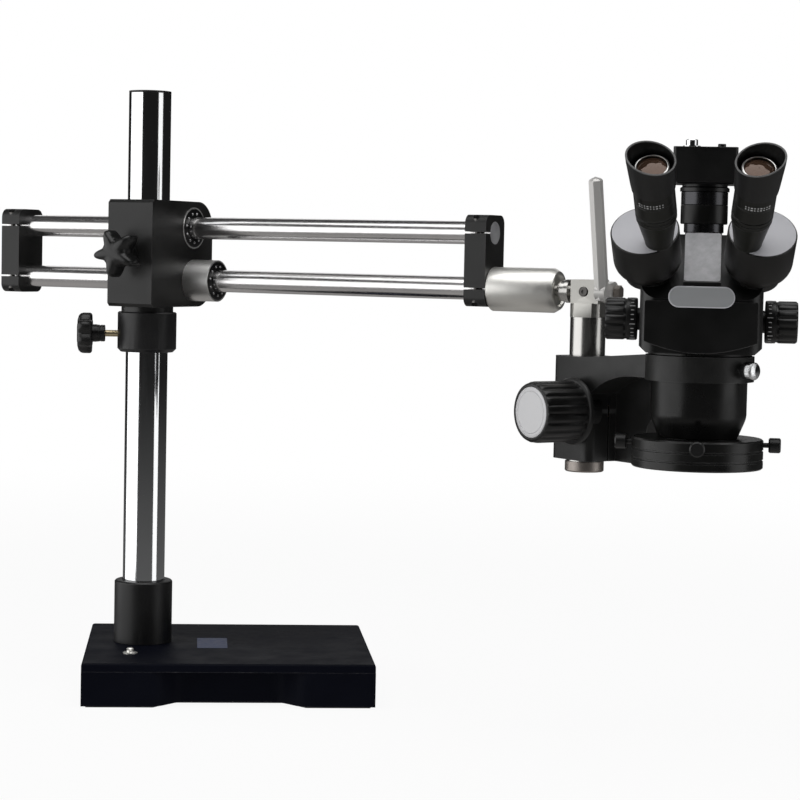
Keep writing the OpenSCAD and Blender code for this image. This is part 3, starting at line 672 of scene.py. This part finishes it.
def add_star_knob():
    """The five-armed wheel that locks the carriage's swivel."""
    place = turned(offset(BOOM, z=STAR_KNOB_Z), "X", 90)
    lean = math.radians(188)
    wheel = stacked(
        lambda a: 12.6 + 9.4 * (0.5 + 0.5 * math.cos(5 * (a - lean))) ** 1.9,
        [(40.5, 0.84), (41.2, 0.94), (42.6, 1), (53, 1), (56, 0.96), (58, 0.87), (59.3, 0.68),
         (60, 0.35)])
    hub = lathe([
        (0, 19.4), (5, 19.4), (5, 31), (8.3, 31), (9, 31.7), (9, 41), (0, 41)], closed=False)
    whole = joined([(wheel, AS_IS), (hub, AS_IS)])
    piece("star_wheel", whole, place, "swivel_lock", M["plastic"], ("star_knob",),
          sharp=40)


def along(place, x=0.0, y=0.0, z=0.0):
    """A frame whose z runs along the given frame's x."""
    return turned(offset(place, x, y, z), "Y", 90)


def add_bearing_mouths():
    """Dark seals with a ring of balls in the ends of the two sleeves."""
    for name, height, mouth in (("upper", ROD_HIGH, 24.0), ("lower", ROD_LOW, 50.0)):
        place = along(BOOM, y=ROD_BACK, z=height)
        seal = lathe([(10.4, mouth - 0.6), (17.6, mouth - 0.6), (17.6, mouth + 0.2),
                      (16.8, mouth + 0.5), (10.4, mouth + 0.1)])
        piece(name + "_seal", seal, place, "carriage", M["dark_trim"])
        balls = []
        count = 11
        for k in range(count):
            ball = bmesh.new()
            bmesh.ops.create_uvsphere(ball, u_segments=16, v_segments=10, radius=1.3)
            spot = Matrix.Rotation(TAU * k / count, 4, "Z") @ Matrix.Translation((13.4, 0, mouth))
            balls.append((ball, spot))
        piece(name + "_balls", joined(balls), place, "carriage", M["ball_steel"])


def add_carriage():
    """The cast and painted parts of the stand and carriage, and the upper rod's sawn end."""
    softened("carriage_block", "carriage_casting", M["cast"], 1.4)
    softened("front_yoke", "front_clamp", M["cast"], 1.2)
    softened("rear_yoke", "rear_clamp", M["cast"], 1.2)
    front = span("upper_rod", BOOM)[1].x
    end = lathe([(0, front - 1), (9.7, front - 1), (9.7, front + 0.1), (9.4, front + 0.3),
                 (0, front + 0.3)], 72, closed=False)
    place = along(BOOM, y=ROD_BACK, z=ROD_HIGH)
    piece("rod_end_face", end, place, "boom", M["end_face"])
    softened("safety_collar", "collar_sleeve", M["paint"], 0.5)
    softened("post_socket", "socket_sleeve", M["paint"], 0.6)


# ---- tilt head and focus --------------------------------------------------------------------

def add_lever():
    """A hexagonal bar with a shallow pointed top, and the lug it stands on."""
    low, high = span("clamp_lever", BOOM)
    thick = high.x - low.x
    reach = 0.5 * thick / math.cos(math.radians(30))
    corners = [math.radians(30 + 60 * k) for k in range(6)]
    rings = [
        [(scale * reach * math.cos(a), scale * reach * math.sin(a), z) for a in corners]
        for z, scale in ((-6, 1), (94.2, 1), (95.6, 0.8), (97.4, 0.05))]
    lug_back, lean = -18, 12
    centre = offset(BOOM, (low.x + high.x) / 2, ROD_BACK, ROD_LOW)
    bar_place = turned(offset(centre, y=lug_back), "X", lean)
    piece("lever_bar", skinned(rings), bar_place, "lever", M["satin_steel"],
          ("clamp_lever",), 0.35)
    half = thick / 2 - 0.4
    steps = 24
    outline = []
    for shift, radius, start, end in ((0, 9.0, -20, 200), (lug_back, 6.4, 180, 360)):
        for k in range(steps + 1):
            a = math.radians(start + (end - start) * k / steps)
            outline.append((radius * math.cos(a), shift + radius * math.sin(a)))
    piece("lever_lug", prism(outline, -half, half), along(centre), "lever", M["satin_steel"],
          bevel=0.6)


def add_tilt_head():
    """The knuckle, its screw, the stop disc and the turned swivel sleeve."""
    softened("tilt_knuckle", "knuckle_block", M["satin_alloy"], 0.6)
    softened("stop_disc", "stop_plate", M["stop_steel"], 0.3)
    screw_face = span("tilt_knuckle", BOOM)[0].y
    screw = lathe([(0, -1), (3.9, -1), (3.9, 2), (3.4, 2.4), (1.6, 2.4), (1.6, 1), (0, 1)], 40,
                  closed=False)
    place = turned(offset(BOOM, SCREW_X, screw_face + 2.2, ROD_LOW), "X", 90)
    piece("knuckle_screw", screw, place, "tilt_head", M["dark_steel"])
    low, high = span("swivel_housing", BOOM)
    turned_end = lathe([
        (5.2, low.x), (18.4, low.x), (19, low.x + 0.6), (19, high.x - 5), (16.4, high.x - 0.4),
        (15.6, high.x), (13.6, high.x), (12.6, high.x - 2), (5.2, high.x - 2)])
    piece("swivel_sleeve", turned_end, along(BOOM, y=ROD_BACK, z=ROD_LOW), "boom",
          M["turned_alloy"], ("swivel_housing",))


def add_focus():
    """The focus casting, and a ribbed grip with a grey cap at each end of the pinion."""
    softened("focus_housing", "focus_casting", M["cast"], 0.7)
    profile = [
        (4.05, 29.4), (28, 29.4), (28, 31.7), (27.2, 32.5), (25.2, 33), (25.2, 36), (25.5, 36.6),
        (25.5, 52), (25.5, 68), (25.2, 71), (24.2, 73.2), (22.6, 74), (21.6, 74), (21.2, 73.5),
        (21.2, 72.9), (4.05, 72.9)]
    pinion = ARM.inverted() @ node_centre("pinion_shaft")
    for name, turn in (("near", 90), ("far", -90)):
        place = turned(offset(ARM, pinion.x, 0, pinion.z), "X", turn)
        grip = lathe(profile, 240, grooved(20, 1.3, 36, 71.5, 3.0))
        replaced = ("focus_knobs",) if name == "near" else ()
        piece(name + "_focus_grip", grip, place, "focus_drive", M["plastic"],
              replaced, sharp=50)
        cap = lathe([
            (0, 72), (21, 72), (21, 73.8), (20.4, 74.1), (17.9, 74.1), (17.5, 73.8), (17.1, 74.1),
            (0, 74.3)], closed=False)
        piece(name + "_focus_cap", cap, place, "focus_drive", M["silver_cap"])


def add_ring_lock():
    """The knurled screw that locks the head in its ring."""
    place = along(turned(offset(ARM, 144, 0, 314.5), "Z", 8))
    knurl = lathe([
        (0, 38.3), (3, 38.3), (3, 46), (5.8, 46), (7, 47), (7, 56), (5.8, 57), (0, 57)], 144,
        grooved(36, 0.5, 46.5, 56.5, 1.0), closed=False)
    piece("lock_thumb_screw", knurl, place, "ring_lock", M["chrome"],
          ("ring_lock_screw",), sharp=50)


# ---- microscope head ------------------------------------------------------------------------

def facing(y, z):
    """A frame on the head's front: x to the right, y up, z towards the user."""
    return turned(offset(HEAD, y=y, z=z), "X", 90)


def pill(half_length, half_height, steps=16):
    """A rectangle with round ends."""
    reach = half_length - half_height
    outline = []
    for side, start in ((1, -90), (-1, 90)):
        for k in range(steps + 1):
            a = math.radians(start + 180 * k / steps)
            outline.append((side * reach + half_height * math.cos(a), half_height * math.sin(a)))
    return outline


def add_head_front():
    """The cover with its curved lower edge, the blank nameplate and the top plate, whose grey is a
    painted reflection.
    """
    half, steps = 44, 24
    lower = [
        (-half + 2 * half * k / steps, 327.2 + 9 * ((k - 12) / 12) ** 2) for k in range(steps + 1)]
    cover = rounded(lower + [(half, 368), (-half, 368)], 2.0, 3, skip=tuple(range(steps + 1)))
    place = turned(offset(HEAD, y=-41.8), "X", 90)
    piece("front_cover", prism(cover, 0, 1.8), place, "head", M["cover"], bevel=0.6)
    plate = facing(-42, 371.2)
    piece("nameplate_rim", prism(pill(25.7, 8.3), -12, 2.5), plate, "head", M["cap_face"],
          bevel=0.5)
    piece("nameplate", prism(pill(24.8, 7.4), 0, 2.8), plate, "head", M["nameplate"],
          bevel=0.2)
    slope = turned(offset(HEAD, y=-42, z=382.7), "X", 45)
    # The plate's grey is a painted reflection of the overhead light.
    piece("spine_plate", prism(rounded_box(-14.1, 1.0, 14.1, 54.0, 2.6), 0.0, 0.5), slope, "head",
          M["spine_sheen"], bevel=0.15)


def add_head_body():
    """The zoom shell, the barrel, and the video camera with the flange under it."""
    softened("zoom_body", "zoom_shell", M["shell"], 1.6)
    softened("objective_barrel", "barrel_shell", M["barrel"], 0.5)
    softened("video_camera", "camera_case", M["shell"], 0.5)
    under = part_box("video_camera")[0].z / MM
    rail = prism(rounded_box(-23.5, -23.5, 23.5, 23.5, 3), under - 1.2, under + 0.2)
    piece("camera_flange", rail, offset(HEAD, y=TUBE_BACK), "head", M["dark_trim"],
          bevel=0.3)


def add_phototube():
    """The tube in four rings: seat, grooved ring, band and the camera's coupler."""
    place = offset(HEAD, y=TUBE_BACK)
    low = lathe([(12, 421.5), (15.4, 421.5), (15.8, 422), (15.8, 428.4), (12, 428.4)])
    piece("tube_seat", low, place, "head", M["dark_chrome"])
    ring = lathe([
        (12, 428.4), (18.2, 428.4), (18.7, 429), (18.7, 443.2), (18.2, 443.8), (12, 443.8)], 144,
        grooved(24, 0.35, 430, 443, 2.0))
    piece("tube_ring", ring, place, "head", M["barrel"], ("phototube",))
    high = lathe([(12, 443.8), (18.6, 443.8), (18.6, 453.6), (18, 454.2), (12, 454.2)])
    piece("tube_band", high, place, "head", M["dark_chrome"])
    coupler = lathe([(11.9, 454.2), (19.6, 454.2), (19.6, 457), (18, 458), (18, 461), (11.9, 461)])
    piece("camera_coupler", coupler, place, "head", M["dark_trim"])


def add_connectors():
    """The video socket with its core, and the power jack, on top of the camera."""
    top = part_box("video_camera")[1].z / MM
    socket = lathe([
        (3.2, top + 5), (3.2, top + 7), (4.4, top + 7), (4.8, top + 6.4), (4.8, top + 2),
        (7, top + 2), (7, top), (0, top), (0, top + 5)], 48, closed=False)
    piece("video_socket", socket, offset(HEAD, -11.3, 26), "head", M["chrome"],
          ("camera_connectors",))
    core = lathe([(0, top + 4.8), (2.9, top + 4.8), (2.9, top + 6.7), (0, top + 6.7)], 32,
                 closed=False)
    piece("video_core", core, offset(HEAD, -11.3, 26), "head", M["dark_trim"])
    jack = lathe([(0, top), (3.2, top), (3.2, top + 3.2), (2.8, top + 3.6), (0, top + 3.6)], 40,
                 closed=False)
    piece("power_jack", jack, offset(HEAD, 12.6, 22), "head", M["dark_trim"])


def upright(angle, radius, z):
    """Where a flat mark stands on a cylinder: at an angle about z, facing out."""
    quarter = math.radians(90)
    spot = Matrix.Rotation(angle, 4, "Z") @ Matrix.Translation((radius, 0, z))
    return spot @ Matrix.Rotation(quarter, 4, "Y") @ Matrix.Rotation(quarter, 4, "Z")


def zoom_ticks(count=28):
    """Ticks round a zoom dial, every fourth one longer."""
    ticks = []
    for k in range(count):
        long = 4.4 if k % 4 == 0 else 2.4
        tick = prism(rounded_box(-0.32, -long / 2, 0.32, long / 2, 0.1), 0, 0.15)
        ticks.append((tick, upright(TAU * k / count, 16.95, 54.4)))
    return joined(ticks)


def add_zoom_knobs():
    """Ribbed grips with a marked dial ring on their inner ends."""
    profile = [
        (3.05, 48.2), (9, 48.2), (9, 50.7), (16.2, 50.7), (17, 51.5), (17, 58.8), (16.2, 59.2),
        (16.2, 60.4), (16.8, 61), (17, 61.8), (17, 74.8), (15.6, 76.3), (3.05, 76.3)]
    for side, turn in (("right", 90), ("left", -90)):
        place = turned(offset(HEAD, **ZOOM_AXIS), "Y", turn)
        grip = lathe(profile, 168, grooved(14, 1.2, 60.8, 75.3, 3.0))
        replaced = ("zoom_knobs",) if side == "right" else ()
        piece(side + "_zoom_grip", grip, place, "zoom_drive", M["plastic"],
              replaced, sharp=50)
        piece(side + "_zoom_marks", zoom_ticks(), place, "zoom_drive", M["marks"])


def drum_shell():
    """The round housing of a pod, with its lower edge rolled in."""
    bend = [math.radians(-90 + 10 * k) for k in range(10)]
    outer = [(12.7 + 14 * math.cos(a), -27.6 + 14 * math.sin(a)) for a in bend]
    inner = [(12.7 + 11.5 * math.cos(a), -27.6 + 11.5 * math.sin(a)) for a in reversed(bend)]
    top = [(26.7, -0.9), (26.4, -0.3), (25.8, 0), (9, 0), (9, -2.5), (24.2, -2.5)]
    return lathe([(9, -41.6)] + outer + top + inner + [(9, -39.1)], 144)


def ocular_barrel():
    """The eyepiece's stepped barrel with its two grooves."""
    return lathe([
        (11.5, 30.3), (15.2, 30.3), (15.8, 30.9), (15.8, 33.4), (15.1, 33.9), (15.1, 34.9),
        (15.8, 35.4), (15.8, 46.5), (15.5, 46.8), (15.5, 47.3), (15.8, 47.6), (15.8, 57.4),
        (15.2, 58), (13.55, 58), (13.55, 77), (12.4, 78), (11.6, 77.5), (11.6, 74), (11, 73.5),
        (11, 40), (11.5, 36)], 120)


def cup_rim(count=96, facets=10, radius=17.9, slope=15):
    """A pale ring along the eyecup's slanting mouth: a painted highlight on the rim's edge."""
    ring = [TAU * i / facets for i in range(facets)]
    rim = []
    for k in range(count):
        a = TAU * k / count
        x, y = radius * math.cos(a), radius * math.sin(a)
        height = 86.35 - x * math.tan(math.radians(slope))
        rim.append([
            (x * (1 + 0.045 * math.cos(b)), y * (1 + 0.045 * math.cos(b)),
             height + 0.55 * math.sin(b)) for b in ring])
    return skinned(rim, looped=True)


def ocular_dashes(per_row=9):
    """Two rows of plain dashes round the front of the eyepiece, every third one longer."""
    dashes = []
    for k in range(2 * per_row):
        size = 0.9 if k % 3 else 1.5
        dash = prism(rounded_box(-size / 2, -0.4, size / 2, 0.4, 0.2), 0, 0.12)
        height = 49.4 if k < per_row else 51.6
        angle = math.radians(-132 + 8.5 * (k % per_row))
        dashes.append((dash, upright(angle, 15.78, height)))
    return joined(dashes)


def add_eyes():
    """Both pods: the drum and its face on the turret, the eyepiece and its cup on the ocular."""
    for side, place in POD.items():
        turret = side + "_pod_turret"
        ocular = side + "_ocular"
        tube = offset(place, *EYE_AXIS)
        piece(side + "_drum", drum_shell(), place, turret, M["drum"],
              (side + "_pod",))
        # The face's light grey is a painted reflection of the overhead light on the drum's black
        # top.
        face = lathe([(0, 0), (25.2, 0), (25.5, 0.25), (25.2, 0.4), (0, 0.4)], 120, closed=False)
        piece(side + "_drum_face", face, place, turret, M["cap_face"])
        softened(side + "_eyecup", side + "_cup", M["rubber"], 0.5)
        piece(side + "_ocular_barrel", ocular_barrel(), tube, ocular, M["ocular"],
              (side + "_eyepiece",))
        collar = lathe([(11.75, 76.8), (11.75, 78.1), (12.1, 78.3), (13, 77.9), (13.5, 77.3),
                        (13.5, 76.8)], 96)
        piece(side + "_lens_ring", collar, tube, ocular, M["lens_ring"])
        # The pale ring is a painted highlight.
        piece(side + "_cup_rim", cup_rim(), tube, ocular, M["rim"], sharp=80)
        piece(side + "_ocular_marks", ocular_dashes(), tube, ocular, M["marks"])


def add_ring_light():
    """The ring light's housing with its two grooves."""
    low, high = span("ring_light_housing", HEAD)
    r = high.x
    bore = LIGHT_BORE
    profile = [
        (bore, low.z), (bore + 3, low.z), (bore + 3, 246), (r - 2.5, 246), (r - 2.5, low.z + 0.3),
        (r - 1, low.z), (r, low.z + 1), (r, 241.6), (r - 1, 242), (r - 1, 243), (r, 243.4),
        (r, 249.2), (r - 1, 249.6), (r - 1, 250.6), (r, 251), (r, high.z - 1.2), (r - 1.2, high.z),
        (bore, high.z)]
    piece("light_ring", lathe(profile, 160), HEAD, "ring_light", M["light_ring"],
          ("ring_light_housing",))


add_base()
add_collar_knob()
add_star_knob()
add_bearing_mouths()
add_carriage()
add_lever()
add_tilt_head()
add_focus()
add_ring_lock()
add_head_front()
add_head_body()
add_phototube()
add_connectors()
add_zoom_knobs()
add_eyes()
add_ring_light()


# ---- carried-over CAD nodes -----------------------------------------------------------------

PLAIN = {
    "base_pad": "pad", "post": "chrome", "post_cap": "plastic", "ground_stud": "turned_alloy",
    "thrust_washer": "plastic", "collar_screw": "brass", "swivel_bushings": "bronze",
    "upper_bearing": "sleeve", "lower_bearing": "sleeve", "ball_retainers": "dark_trim",
    "upper_rod": "rod_chrome", "lower_rod": "rod_chrome", "yoke_screws": "dark_steel",
    "tilt_spindle": "ground_steel", "drop_pin": "ground_steel", "lever_bolt": "stop_steel",
    "pinion_bushings": "bronze", "pinion_shaft": "ground_steel", "objective_lenses": "lens",
    "objective_window": "lens", "zoom_shaft": "ground_steel", "zoom_carriage": "turned_alloy",
    "zoom_lenses": "lens", "led_board": "board", "light_diffuser": "frosted",
    "light_screws": "plastic",
}
for side in ("left", "right"):
    PLAIN.update({
        side + "_prism": "prism", side + "_eyetube": "ocular", side + "_eye_lens": "coated"})
for node, look in PLAIN.items():
    coat(node, M[look])
